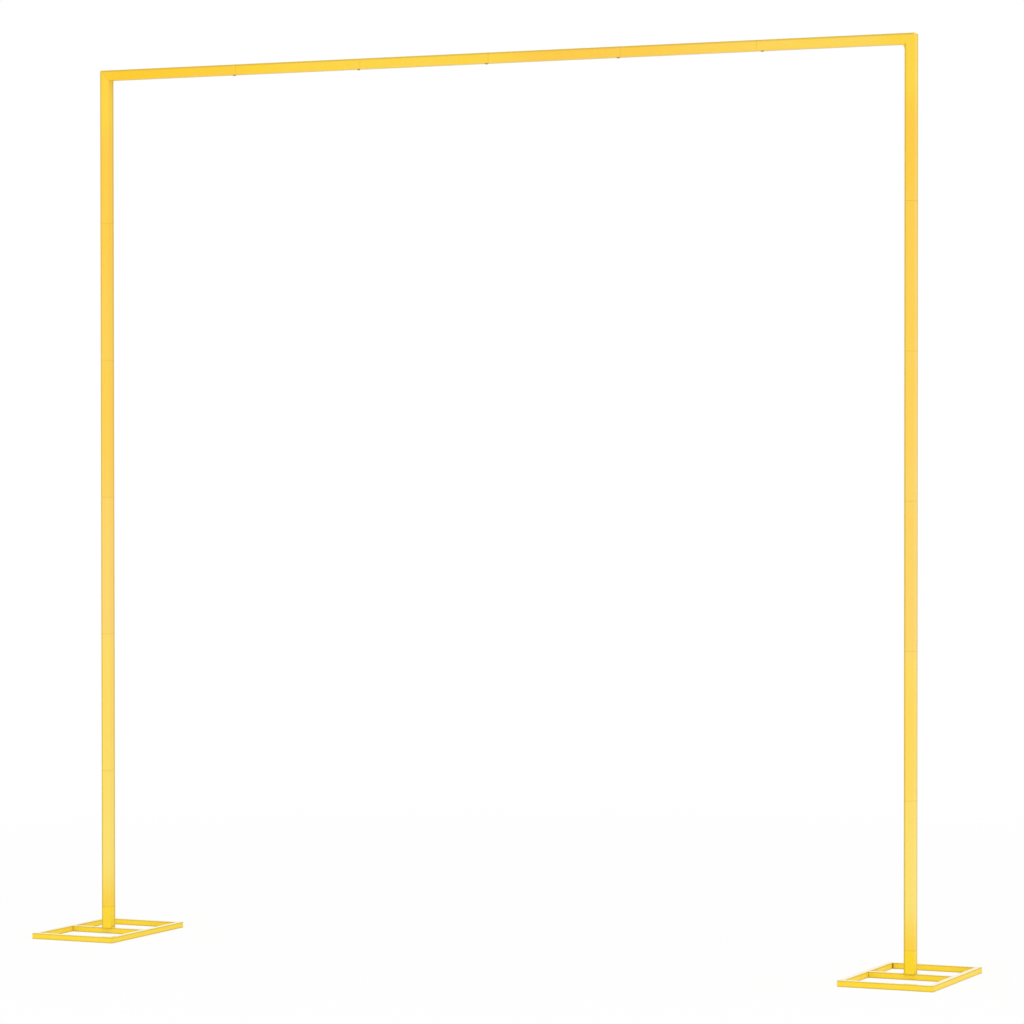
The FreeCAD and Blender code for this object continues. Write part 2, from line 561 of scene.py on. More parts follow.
@dataclass(frozen=True)
class Weld:
    """A straight weld run with the ripples of its making.

    Cover says how well paint hides it, as the distance from a bare weld that it counts
    as, and so how much darkening it takes: a thinner coat and, in the bases' inner corners,
    painted crease shade. It is negative where the paint is scorched.
    """

    ripple: float = 0.14
    cover: float = 0.0
    pitch: float = 2.4 * MM
    rings_per_ripple: int = 5
    fewest_rings: int = 9
    end_rounding: float = 1.2 * MM
    end_steps: int = 6

    def sweep(self, start: Array, end: Array, section: Array, *axes: Array) -> Surface:
        """Carries a closed section along a straight line, rounded off at both ends.

        Ring s is line(s) + size(s) * (a * first axis + b * second axis) for each section
        point (a, b). The size is 1, less a ripple of ripple * (1 - |cos(pi * s / pitch)|),
        and it falls to 0 over the end rounding as a quarter circle does.

        Args:
            start: Where the run begins.
            end: Where it stops.
            section: Rows of a and b.
            *axes: Directions of a and b.

        Returns:
            The surface of the run.
        """
        length = float(np.linalg.norm(end - start))
        cap = self.end_rounding * (1 - np.cos(np.linspace(0.0, QUARTER, self.end_steps)))
        count = max(self.fewest_rings, int(length / self.pitch * self.rings_per_ripple))
        middle = np.linspace(self.end_rounding, length - self.end_rounding, count)
        along = np.concatenate([cap[:-1], middle, length - cap[-2::-1]])
        near = np.clip(np.minimum(along, length - along) / self.end_rounding, 0, 1)
        size = np.sqrt(1 - (1 - near) ** 2)
        size = size * (1 - self.ripple * (1 - np.abs(np.cos(math.pi * along / self.pitch))))
        line = start + along[:, None] / length * (end - start)
        points = line[:, None] + size[:, None, None] * (section @ np.stack(axes))
        values = {Mark.EDGE: FAR, Mark.SEAM: FAR, Mark.WELD: self.cover, Mark.TONE: 0.0}
        marks = {mark: np.full(points.shape[:2], value) for mark, value in values.items()}
        return poled_grid(points, marks)


@dataclass(frozen=True)
class Bead(Weld):
    """A low bead half sunk in a face: an ellipse, width across and height above the face."""

    width: float = 3.0 * MM
    height: float = 0.35 * MM
    steps: int = 12

    def run(self, start: Array, end: Array, up: Array) -> Surface:
        """The bead along a line on a face.

        Args:
            start: Where it begins.
            end: Where it stops.
            up: Outward direction of the face.

        Returns:
            Its surface.
        """
        turn = np.linspace(0.0, 2 * math.pi, self.steps, endpoint=False)
        section = np.stack([np.cos(turn) * self.width / 2, np.sin(turn) * self.height], -1)
        return self.sweep(start, end, section, np.cross(unit(end - start), up), up)


@dataclass(frozen=True)
class Fillet(Weld):
    """A hollow weld in an inner corner: a triangle whose long side is a quarter circle.

    The quarter circle has its centre at (leg, leg), and the other three points of the
    section are sunk a little behind the faces.
    """

    leg: float = 2.6 * MM
    sunk: float = 0.8 * MM
    steps: int = 9

    def run(self, start: Array, end: Array, first: Array, second: Array) -> Surface:
        """The fillet along a corner's line from start to end.

        Args:
            start: Where it begins.
            end: Where it stops.
            first: Direction along one face, away from the corner.
            second: Direction along the other face.

        Returns:
            Its surface.
        """
        turn = np.linspace(0.0, QUARTER, self.steps)
        arc = self.leg * (1 - np.stack([np.sin(turn), np.cos(turn)], -1))
        leg, behind = self.leg, -self.sunk
        section = np.concatenate([[[behind, behind], [leg, behind]], arc, [[behind, leg]]])
        return self.sweep(start, end, section, first, second)


class Signal:
    """A number in a shader. Sums and products with it add Math nodes to its graph."""

    def __init__(self, graph: "Graph", socket: bpy.types.NodeSocket) -> None:
        """Wraps one output socket of a graph."""
        self.graph = graph
        self.socket = socket

    def _math(self, operation: str, first: "Signal | float", second: "Signal | float") -> "Signal":
        """Adds one Math node and returns its result."""
        return self.graph.add("ShaderNodeMath", {"operation": operation}, {0: first, 1: second})

    def __add__(self, other: "Signal | float") -> "Signal":
        """This number plus another."""
        return self._math("ADD", self, other)

    def __sub__(self, other: "Signal | float") -> "Signal":
        """This number less another."""
        return self._math("SUBTRACT", self, other)

    def __rsub__(self, other: float) -> "Signal":
        """A plain number less this one."""
        return self._math("SUBTRACT", other, self)

    def __mul__(self, other: "Signal | float") -> "Signal":
        """This number times another."""
        return self._math("MULTIPLY", self, other)

    __radd__ = __add__
    __rmul__ = __mul__

    def clamped(self) -> "Signal":
        """This number held between 0 and 1."""
        return self.graph.add("ShaderNodeClamp", {}, {"Value": self})


Colour = tuple[float, float, float, float]
Stops = tuple[tuple[float, float], ...]
WHITE: Colour = (1.0, 1.0, 1.0, 1.0)


@dataclass(frozen=True)
class Noise:
    """Noise from 0 to 1: its cells in a metre, its finer layers and how strong these are."""

    scale: float
    detail: float
    roughness: float = 0.5

    def at(self, place: Signal) -> Signal:
        """The noise at a place."""
        inputs = {"Scale": self.scale, "Detail": self.detail, "Roughness": self.roughness}
        return place.graph.add("ShaderNodeTexNoise", {}, {"Vector": place} | inputs)


class Graph:
    """The nodes of one material or of the world."""

    MIX_FACTOR, MIX_FIRST, MIX_SECOND, MIX_RESULT = 0, 6, 7, 2

    def __init__(self, owner: bpy.types.Material | bpy.types.World) -> None:
        """Gives its owner an empty node tree.

        Args:
            owner: The material or the world.
        """
        owner.use_nodes = True
        self.tree = owner.node_tree
        self.tree.nodes.clear()

    def add(
        self,
        kind: str,
        settings: dict | None = None,
        inputs: dict | None = None,
        output: int | str = 0,
    ) -> Signal | None:
        """Adds one node.

        Args:
            kind: The node's type.
            settings: Its settings. The stops of a ramp are pairs of place and grey.
            inputs: The value or signal of each socket, by name or number.
            output: The output that is wanted.

        Returns:
            That output, or nothing if the node has none.
        """
        node = self.tree.nodes.new(kind)
        for name, value in (settings or {}).items():
            if name == "stops":
                self._set_stops(node.color_ramp, value)
            else:
                setattr(node, name, value)
        for name, value in (inputs or {}).items():
            if isinstance(value, Signal):
                self.tree.links.new(value.socket, node.inputs[name])
            else:
                node.inputs[name].default_value = value
        return Signal(self, node.outputs[output]) if len(node.outputs) else None

    @staticmethod
    def _set_stops(ramp: bpy.types.ColorRamp, stops: Stops) -> None:
        """Gives a ramp its stops.

        Args:
            ramp: The ramp, which has two stops so far.
            stops: Place and grey of each stop.
        """
        ramp.interpolation = "EASE"
        while len(ramp.elements) < len(stops):
            ramp.elements.new(1.0)
        for element, (place, grey) in zip(ramp.elements, stops):
            element.position = place
            element.color = (grey, grey, grey, 1.0)

    def mix(
        self, factor: Signal, first: Colour | Signal, second: Colour, blend: str = "MIX"
    ) -> Signal:
        """Colour that goes from the first at factor 0 to the second at factor 1.

        Args:
            factor: How much of the second shows.
            first: The first colour.
            second: The second colour.
            blend: MIX, or MULTIPLY where the second is a tint.

        Returns:
            The mixed colour.
        """
        settings = {"data_type": "RGBA", "blend_type": blend}
        inputs = {self.MIX_FACTOR: factor, self.MIX_FIRST: first, self.MIX_SECOND: second}
        return self.add("ShaderNodeMix", settings, inputs, self.MIX_RESULT)

    def place(self) -> Signal:
        """The place on the object, in metres."""
        return self.add("ShaderNodeTexCoord", output="Object")

    def axis(self, vector: Signal, letter: str) -> Signal:
        """One axis of a vector."""
        return self.add("ShaderNodeSeparateXYZ", {}, {0: vector}, letter)

    def mark(self, mark: Mark) -> Signal:
        """One of the marks that the surface carries."""
        return self.add("ShaderNodeAttribute", {"attribute_name": mark.value}, output="Fac")

    def near(self, distance: Signal, reach: float) -> Signal:
        """1 where a distance is 0, falling to 0 where it comes to the reach."""
        return (1 - distance * (1 / reach)).clamped()

    def bump(self, height: Signal, distance: float, under: Signal | None = None) -> Signal:
        """Normal of a surface raised by a height times a distance, over another normal if any."""
        inputs = {"Height": height, "Distance": distance, "Strength": 1.0}
        return self.add("ShaderNodeBump", {}, inputs | ({"Normal": under} if under else {}))

    def show(self, surface: Signal, output: str = "ShaderNodeOutputMaterial") -> None:
        """Links a shader to the material's or the world's output."""
        self.add(output, {}, {"Surface": surface})


class RunAxis(Enum):
    """The axis along which a tint changes, with the factors that draw noise out along it."""

    X = (0.03, 1.0, 1.0)
    Z = (1.0, 1.0, 0.03)


NONE: Stops = ((0.0, 0.0), (1.0, 0.0))


@dataclass(frozen=True)
class PowderCoat:
    """Satin golden powder coat over steel tube, as it is after some use.

    It is deeper and paler along the run by a ramp that paints in a light falloff, besides its
    tone by section and by stretches, and warmer and cooler by stretches. Its coat is thinner
    along the edges, where it also carries painted shade on the edges that outline a tube
    seen from the camera, and it carries painted shade underneath. It is rubbed beside the
    seams, with painted shade in the seam's gap, uneven over the welds, with painted crease
    shade on the welds of the bases, and glossiest on faces that point up, where dusty
    patches on the bases also paint in a highlight. A share says how much of a colour is
    mixed in, and a waver how far noise moves a border.
    """

    name: str
    axis: RunAxis
    low: float
    high: float
    # Paleness ramp along the run, which paints in a light falloff.
    paleness: Stops
    warmth: Stops = NONE
    deep: Colour = (0.970, 0.635, 0.020, 1.0)
    pale: Colour = (0.970, 0.775, 0.190, 1.0)
    warm: Colour = (1.000, 0.880, 1.000, 1.0)
    # A thinner coat's colour, also used as painted shade on outline edges, in weld creases and
    # underneath.
    thin_coat_and_shade: Colour = (0.580, 0.400, 0.040, 1.0)
    # Colour of painted shade in the seam's gap.
    gap: Colour = (0.120, 0.075, 0.020, 1.0)
    scorched: Colour = (0.200, 0.120, 0.020, 1.0)
    chalk: Colour = (0.930, 0.760, 0.330, 1.0)
    # Dusty colour on faces that point up, which on the bases also paints in a highlight.
    dust_and_highlight: Colour = (0.950, 0.860, 0.580, 1.0)
    broad: Noise = Noise(1.7, 2.0)
    broad_change: float = 0.3
    mottle: Noise = Noise(38.0, 4.0, 0.6)
    mottle_change: float = 0.24
    warmth_change: float = 0.3
    waver: Noise = Noise(190.0, 3.0, 0.6)
    edge_share: float = 0.7
    edge_change: float = 0.4
    edge_reach: float = 5.0 * MM
    edge_waver: float = 1.2 * MM
    # Share of a thinner coat over the welds, which is also painted crease shade in inner corners.
    weld_share: float = 0.05
    weld_change: float = 4.0
    weld_reach: float = 9.0 * MM
    weld_waver: float = 4.0 * MM
    scorch_share: float = 0.8
    scorch_cover: float = 4.0 * MM
    streaks: Noise = Noise(1500.0, 2.0, 0.6)
    streaks_above: float = 0.60
    streak_contrast: float = 9.0
    scuff_share: float = 0.55
    scuff_reach: float = 60.0 * MM
    scuff_waver: float = 30.0 * MM
    # Share of painted shade in the seam's gap.
    gap_share: float = 0.7
    gap_half: float = 0.1 * MM
    gap_reach: float = 0.25 * MM
    gap_waver: float = 0.2 * MM
    level_above: float = 0.8
    level_contrast: float = 6.0
    # Share of painted shade on faces that point down.
    underside_shade_share: float = 0.45
    dust_and_highlight_share: float = 0.1
    dust_and_highlight_change: float = 0.6
    peel: Noise = Noise(420.0, 1.5, 0.4)
    peel_height: float = 0.02 * MM
    grain: Noise = Noise(2600.0, 1.0)
    grain_height: float = 0.003 * MM
    roughness: float = 0.34
    mottle_roughness: float = 0.14
    grain_roughness: float = 0.08
    weld_roughness: float = 0.08
    rough_weld_reach: float = 6.0 * MM
    specular_ior: float = 1.15
    coat_weight: float = 0.15
    top_gloss: float = 0.2
    coat_roughness: float = 0.10
    coat_ior: float = 1.3

    def _colour(self, graph: Graph, place: Signal, mottle: Signal, upward: Signal) -> Signal:
        """The paint's colour with its wear, a painted light falloff and painted shade.

        Paleness is a ramp along the run, which paints in a light falloff, plus the section's
        tone and two layers of noise, and warmth is another ramp. Edges mix in the thinner coat's
        colour, which on the outline edges is painted shade as well; welds mix it in as a thinner
        coat and, on the bases, painted crease shade; the seam's gap mixes in a dark colour that is
        painted shade; and welds with a negative cover mix in the scorched one. Fine streaks along
        the run, near a seam, mix in a chalky colour. Faces that point down mix in the thinner
        coat's colour as painted shade, and dusty patches lie on those that point up, which on the
        bases also paint in a highlight.

        Args:
            graph: The material's graph.
            place: The place on the piece.
            mottle: Noise a few centimetres wide, from -0.5 to 0.5.
            upward: How far up the face points, from -1 to 1.

        Returns:
            The colour.
        """
        # Paleness ramp along the run, a painted light falloff.
        along = (graph.axis(place, self.axis.name) - self.low) * (1 / (self.high - self.low))
        ramp, warmth = (
            graph.add("ShaderNodeValToRGB", {"stops": stops}, {"Fac": along})
            for stops in (self.paleness, self.warmth)
        )
        broad = (self.broad.at(place) - 0.5) * self.broad_change
        paleness = (ramp + graph.mark(Mark.TONE) + broad + mottle * self.mottle_change).clamped()
        colour = graph.mix(paleness, self.deep, self.pale)
        colour = graph.mix(warmth + mottle * self.warmth_change, colour, self.warm, "MULTIPLY")
        waver = self.waver.at(place) - 0.5
        from_edge, from_weld, from_seam = map(graph.mark, (Mark.EDGE, Mark.WELD, Mark.SEAM))
        # A thinner coat along the edges with painted shade on the outline edges, and over the
        # welds a thinner coat with painted crease shade.
        edge = graph.near(from_edge + waver * self.edge_waver, self.edge_reach)
        weld = graph.near(from_weld + waver * self.weld_waver, self.weld_reach)
        uneven = self.weld_share + waver * self.weld_change * self.weld_share
        scorch = graph.near(from_weld + self.scorch_cover, self.scorch_cover)
        multiply, factors = {"operation": "MULTIPLY"}, self.axis.value
        drawn = graph.add("ShaderNodeVectorMath", multiply, {0: place, 1: factors}, "Vector")
        streak = ((self.streaks.at(drawn) - self.streaks_above) * self.streak_contrast).clamped()
        scuff = streak * graph.near(from_seam + waver * self.scuff_waver, self.scuff_reach)
        # Painted shade in the seam's gap.
        gap = graph.near(from_seam + waver * self.gap_waver - self.gap_half, self.gap_reach)
        # Dusty patches on faces that point up, and on the bases a painted highlight.
        dust_and_highlight = self._level(upward) * self.dust_and_highlight_share * (1 + mottle * self.dust_and_highlight_change)
        # Painted shade on the outline edges, in the welds' creases, in the seam's gap and
        # underneath, and a painted highlight on the dusty tops of the bases, mixed in with the
        # coat's wear.
        for share, layer in (
            (edge * (self.edge_share + mottle * self.edge_change), self.thin_coat_and_shade),
            (weld * uneven, self.thin_coat_and_shade),
            (scorch * (self.scorch_share + waver), self.scorched),
            (scuff * self.scuff_share, self.chalk),
            (gap * self.gap_share, self.gap),
            (self._level(-1 * upward) * self.underside_shade_share, self.thin_coat_and_shade),
            (dust_and_highlight, self.dust_and_highlight),
        ):
            colour = graph.mix(share, colour, layer)
        return colour

    def _level(self, upward: Signal) -> Signal:
        """1 on faces that point all the way up, 0 on upright ones."""
        return ((upward - self.level_above) * self.level_contrast).clamped()

    def build(self, slot: str) -> Finish:
        """Builds the paint.

        Orange peel over a fine grain makes the bump. The roughness varies by patches, by
        the grain and over the welds, and the gloss is strongest on faces that point up.

        Args:
            slot: The record's slot that it belongs to.

        Returns:
            The finish.
        """
        material = bpy.data.materials.new(self.name)
        graph = Graph(material)
        place = graph.place()
        mottle = self.mottle.at(place) - 0.5
        grain = self.grain.at(place)
        upward = graph.axis(graph.add("ShaderNodeTexCoord", output="Normal"), "Z")
        weld = graph.near(graph.mark(Mark.WELD), self.rough_weld_reach)
        roughness = self.roughness + mottle * self.mottle_roughness
        roughness = roughness + (grain - 0.5) * self.grain_roughness + weld * self.weld_roughness
        fine_bump = graph.bump(grain, self.grain_height)
        inputs = {
            "Base Color": self._colour(graph, place, mottle, upward),
            "Roughness": roughness,
            "Normal": graph.bump(self.peel.at(place), self.peel_height, fine_bump),
            "IOR": self.specular_ior,
            "Coat Weight": self.coat_weight + self._level(upward) * self.top_gloss,
            "Coat Roughness": self.coat_roughness,
            "Coat IOR": self.coat_ior,
        }
        graph.show(graph.add("ShaderNodeBsdfPrincipled", {}, inputs))
        return Finish(material, slot)


@dataclass(frozen=True)
class ZincPlatedSteel:
    """Yellow zinc plated steel of the screws, rubbed brighter on its rims."""

    name: str = "zinc_plated_steel"
    dull: Colour = (0.33, 0.28, 0.12, 1.0)
    rubbed: Colour = (0.56, 0.50, 0.34, 1.0)
    metallic: float = 0.85
    grain: Noise = Noise(1800.0, 3.0)
    grain_height: float = 0.01 * MM
    blotches: Noise = Noise(320.0, 3.0, 0.6)
    blotch_contrast: float = 2.0
    blotch_loss: float = 0.35
    roughness: float = 0.42
    grain_roughness: float = 0.2
    rubbed_polish: float = 0.15

    def build(self, slot: str) -> Finish:
        """Builds the steel, polished and paler where noise leaves the rims' mark.

        Args:
            slot: The record's slot that it belongs to.

        Returns:
            The finish.
        """
        material = bpy.data.materials.new(self.name)
        graph = Graph(material)
        place = graph.place()
        grain = self.grain.at(place)
        patches = self.blotches.at(place) * self.blotch_contrast - self.blotch_loss
        rubbing = (graph.mark(Mark.RUB) * patches).clamped()
        roughness = self.roughness + (grain - 0.5) * self.grain_roughness
        inputs = {
            "Base Color": graph.mix(rubbing, self.dull, self.rubbed),
            "Roughness": roughness - rubbing * self.rubbed_polish,
            "Metallic": self.metallic,
            "Normal": graph.bump(grain, self.grain_height),
        }
        graph.show(graph.add("ShaderNodeBsdfPrincipled", {}, inputs))
        return Finish(material, slot)


class Finishes:
    """All finishes of the arch, built once and shared by its pieces."""

    def __init__(self) -> None:
        """Builds each finish over the reach of its pieces."""
        upright = (RunAxis.Z, cad_bounds[0].z, cad_bounds[1].z)
        level = (RunAxis.X, box_of("left_corner_arm")[0][0], box_of("right_corner_arm")[1][0])
        # On the bases and sockets the welds take the thinner coat's colour strongly, which paints
        # crease shade into the inner corners.
        welded = {"deep": (0.985, 0.695, 0.016, 1.0), "weld_share": 0.9}
        # The paleness stops of the posts and the beam paint in a light falloff along each run.
        self.post_paint = PowderCoat(
            "post_paint",
            *upright,
            ((0.03, 0.2), (0.08, 0.84), (0.27, 0.6), (0.38, 0.74))
            + ((0.62, 0.42), (0.94, 0.25), (0.99, 0.2)),
            ((0.05, 0.1), (0.33, 0.3), (0.36, 0.85), (0.65, 0.75), (0.91, 0.85), (0.95, 0.15)),
        ).build("tube_paint")
        self.beam_paint = PowderCoat(
            "beam_paint",
            *level,
            ((0.0, 0.12), (0.03, 0.01), (0.3, 0.2), (0.64, 0.25))
            + ((0.82, 0.41), (0.94, 0.38), (0.985, 0.2)),
            ((0.03, 0.6), (0.17, 0.5), (0.2, 0.1), (0.5, 0.2))
            + ((0.57, 1.0), (0.94, 0.3), (0.99, 0.1)),
        ).build("tube_paint")
        self.base_paint = PowderCoat(
            "base_paint",
            *level,
            ((0.0, 0.18), (1.0, 0.18)),
            edge_reach=3.2 * MM,
            # Dusty tops that also paint in a highlight.
            dust_and_highlight_share=0.6,
            top_gloss=0.85,
            **welded,
        ).build("base_paint")
        self.socket_paint = PowderCoat(
            "socket_paint", *upright, ((0.0, 0.12), (0.031, 0.05)), edge_reach=4.0 * MM, **welded
        ).build("base_paint")
        self.screw_steel = ZincPlatedSteel().build("screw_steel")


def section_tones(seed: int = 11, spread: float = 0.05) -> Iterator[float]:
    """How much paler than the rest each section's paint is, always in the same order."""
    draws = np.random.default_rng(seed)
    while True:
        yield float(draws.uniform(-spread, spread))


@dataclass
class Post:
    """One upright of push-together sections, with the leg of its welded corner."""

    side: Side
    maker: TubeMaker
    finish: Finish
    tones: Iterator[float]
    sections: int = 5

    def build(self) -> list[ScrewSeat]:
        """Builds the sections from the socket up, then the leg.

        Returns:
            The seats of the post's screws.
        """
        label, out, tones = self.side.label, self.side.outward, self.tones
        # The front-left and rear-right edges outline the posts seen from the camera and carry
        # painted shade.
        start, outline_diagonal = TubeEnd.OPEN, RIGHT + REAR
        names = [f"{label}_post_section_{number}" for number in range(1, self.sections + 1)]
        sections = [
            Tube(name, UP, RIGHT, start, TubeEnd.NECK, next(tones), REAR, outline_diagonal) for name in names
        ]
        leg = Tube(f"{label}_corner_leg", UP, out, start, TubeEnd.MITRE, 0.0, REAR, outline_diagonal)
        return self.maker.dress([*sections, leg], self.finish)


@dataclass
class Beam:
    """The straight beam of push-together sections between the arms of the two corners."""

    maker: TubeMaker
    finish: Finish
    tones: Iterator[float]
    sections: int = 4

    def build(self) -> list[ScrewSeat]:
        """Builds the sections from the left, then the arms.

        Returns:
            The seats of the beam's screws.
        """
        slide, neck, mitre = TubeEnd.OPEN, TubeEnd.NECK, TubeEnd.MITRE
        # The top-front and bottom-rear edges outline the beam seen from the camera and carry
        # painted shade.
        outline_diagonal, tones = UP - REAR, self.tones
        starts = [slide] * (self.sections - 1) + [neck]
        sections = [
            Tube(f"beam_section_{number}", -RIGHT, UP, start, neck, next(tones), -UP, outline_diagonal)
            for number, start in enumerate(starts, 1)
        ]
        arms = [
            Tube(f"{side.label}_corner_arm", side.outward, UP, slide, mitre, 0.0, -UP, outline_diagonal)
            for side in Side
        ]
        return self.maker.dress(sections + arms, self.finish)


@dataclass
class CornerWelds:
    """The welds of one top corner: beads on its front and rear mitres, a fillet inside."""

    side: Side
    finish: Finish
    fillet: Fillet
    bead: Bead = Bead(ripple=0.06, width=5.0 * MM, height=0.2 * MM)
    edge_margin: float = 2.5 * MM
    fillet_margin: float = 0.6 * MM

    def build(self) -> None:
        """Builds the three welds of the corner as one piece."""
        low, high = box_of(f"{self.side.label}_corner_leg")
        underside = box_of(f"{self.side.label}_corner_arm")[0][2]
        inner_x, outer_x = (high[0], low[0]) if self.side is Side.LEFT else (low[0], high[0])
        inner, outer = np.array([inner_x, 0.0, underside]), np.array([outer_x, 0.0, high[2]])
        margin, half = unit(outer - inner) * self.edge_margin, high[1]
        welds = [
            self.bead.run(inner + margin + face * half, outer - margin * 2 + face * half, face)
            for face in (-REAR, REAR)
        ]
        reach = REAR * (half - self.fillet_margin)
        welds.append(self.fillet.run(inner - reach, inner + reach, -self.side.outward, -UP))
        make_piece(f"{self.side.label}_corner_weld", joined(welds), self.finish)


@dataclass
class BaseFrame:
    """One welded base: four mitred bars, a cross bar and the socket of the post.

    The scorched corner, if it has one, is given by the signs of its X and Y.
    """

    side: Side
    bars: TubeMaker
    tubes: TubeMaker
    finishes: Finishes
    scorched_corner: tuple[int, int] | None = None
    bead: Bead = Bead(cover=4.0 * MM)
    # The mitre and cross bar fillets in the inner corners have no cover, so they take painted
    # crease shade.
    mitre_fillet: Fillet = Fillet(leg=2.6 * MM)
    scorched_fillet: Fillet = Fillet(ripple=0.2, cover=-4.0 * MM, leg=4.2 * MM)
    cross_fillet: Fillet = Fillet(leg=2.4 * MM)
    foot_fillet: Fillet = Fillet(cover=4.0 * MM, leg=8.0 * MM)
    under_fillet: Fillet = Fillet(cover=4.0 * MM, leg=6.0 * MM)
    edge_margin: float = 1.8 * MM
    fillet_margin: float = 0.6 * MM

    def build(self) -> None:
        """Builds the bars, the socket and the welds that hold them."""
        out, mitre, butt = self.side.outward, TubeEnd.MITRE, TubeEnd.BUTT
        rows = (
            ("front_bar", RIGHT, -REAR, mitre),
            ("rear_bar", RIGHT, REAR, mitre),
            ("outer_bar", REAR, out, mitre),
            ("inner_bar", REAR, -out, mitre),
            ("cross_bar", RIGHT, REAR, butt),
        )
        bars = [Tube(self._node(bar), along, wide, ends, ends) for bar, along, wide, ends in rows]
        self.bars.dress(bars, self.finishes.base_paint)
        # The socket's front-left and rear-right edges outline it seen from the camera and carry
        # painted shade.
        socket = Tube(self._node("socket"), UP, RIGHT, butt, TubeEnd.NECK, rubbed=RIGHT + REAR)
        self.tubes.dress([socket], self.finishes.socket_paint)
        welds = self._corner_welds() + self._cross_bar_welds() + self._socket_welds()
        make_piece(self._node("welds"), joined(welds), self.finishes.base_paint)

    def _node(self, piece: str) -> str:
        """Name of one of this base's pieces."""
        return f"{self.side.label}_base_{piece}"

    def _upright(self, fillet: Fillet, corner: Array, way_x: int, way_y: int) -> Surface:
        """A fillet up the inner corner between two bars.

        Args:
            fillet: The fillet.
            corner: A point on the corner's line.
            way_x: Sign of the way along one bar's face, away from the corner.
            way_y: Sign of the way along the other's.

        Returns:
            Its surface.
        """
        foot, head = (np.array([*corner[:2], z]) for z in (0.0, self.bars.stock.size))
        margin = UP * self.edge_margin
        return fillet.run(foot + margin, head - margin, RIGHT * way_x, REAR * way_y)

    def _corner_welds(self) -> list[Surface]:
        """A bead on top of each mitre and a fillet in each inner corner.

        Returns:
            The surfaces of the welds.
        """
        bars = ("front_bar", "rear_bar", "outer_bar", "inner_bar")
        lows, highs = zip(*(box_of(self._node(bar)) for bar in bars))
        low, high, size = np.min(lows, axis=0), np.max(highs, axis=0), self.bars.stock.size
        welds = []
        for x, way_x in ((low[0], 1), (high[0], -1)):
            for y, way_y in ((low[1], 1), (high[1], -1)):
                outer = np.array([x, y, size])
                inner = outer + size * (RIGHT * way_x + REAR * way_y)
                step = unit(inner - outer) * self.edge_margin
                is_scorched = (-way_x, -way_y) == self.scorched_corner
                fillet = self.scorched_fillet if is_scorched else self.mitre_fillet
                welds.append(self.bead.run(outer + 2 * step, inner - step, UP))
                welds.append(self._upright(fillet, inner, way_x, way_y))
        return welds

    def _cross_bar_welds(self) -> list[Surface]:
        """A bead on top of each end of the cross bar and fillets up both its sides.

        Returns:
            The surfaces of the welds.
        """
        low, high = box_of(self._node("cross_bar"))
        margin = REAR * self.edge_margin
        welds = []
        for x, way in ((low[0], 1), (high[0], -1)):
            start, end = np.array([x, low[1], high[2]]), np.array([x, high[1], high[2]])
            welds.append(self._upright(self.cross_fillet, start, way, -1))
            welds.append(self._upright(self.cross_fillet, end, way, 1))
            welds.append(self.bead.run(start + margin, end - margin, UP))
        return welds

    def _socket_welds(self) -> list[Surface]:
        """Fillets round the socket's foot: beside it on the bar, and under its overhangs.

        Returns:
            The surfaces of the welds.
        """
        bar_low, bar_high = box_of(self._node("cross_bar"))
        low, high = box_of(self._node("socket"))
        top, across, along = bar_high[2], REAR * self.fillet_margin, RIGHT * self.edge_margin
        welds = []
        for x, way in ((low[0], -1), (high[0], 1)):
            start, end = np.array([x, bar_low[1], top]), np.array([x, bar_high[1], top])
            welds.append(self.foot_fillet.run(start + across, end - across, RIGHT * way, UP))
        for y, way in ((bar_low[1], -1), (bar_high[1], 1)):
            start, end = np.array([low[0], y, top]), np.array([high[0], y, top])
            welds.append(self.under_fillet.run(start + along, end - along, REAR * way, -UP))
        return welds


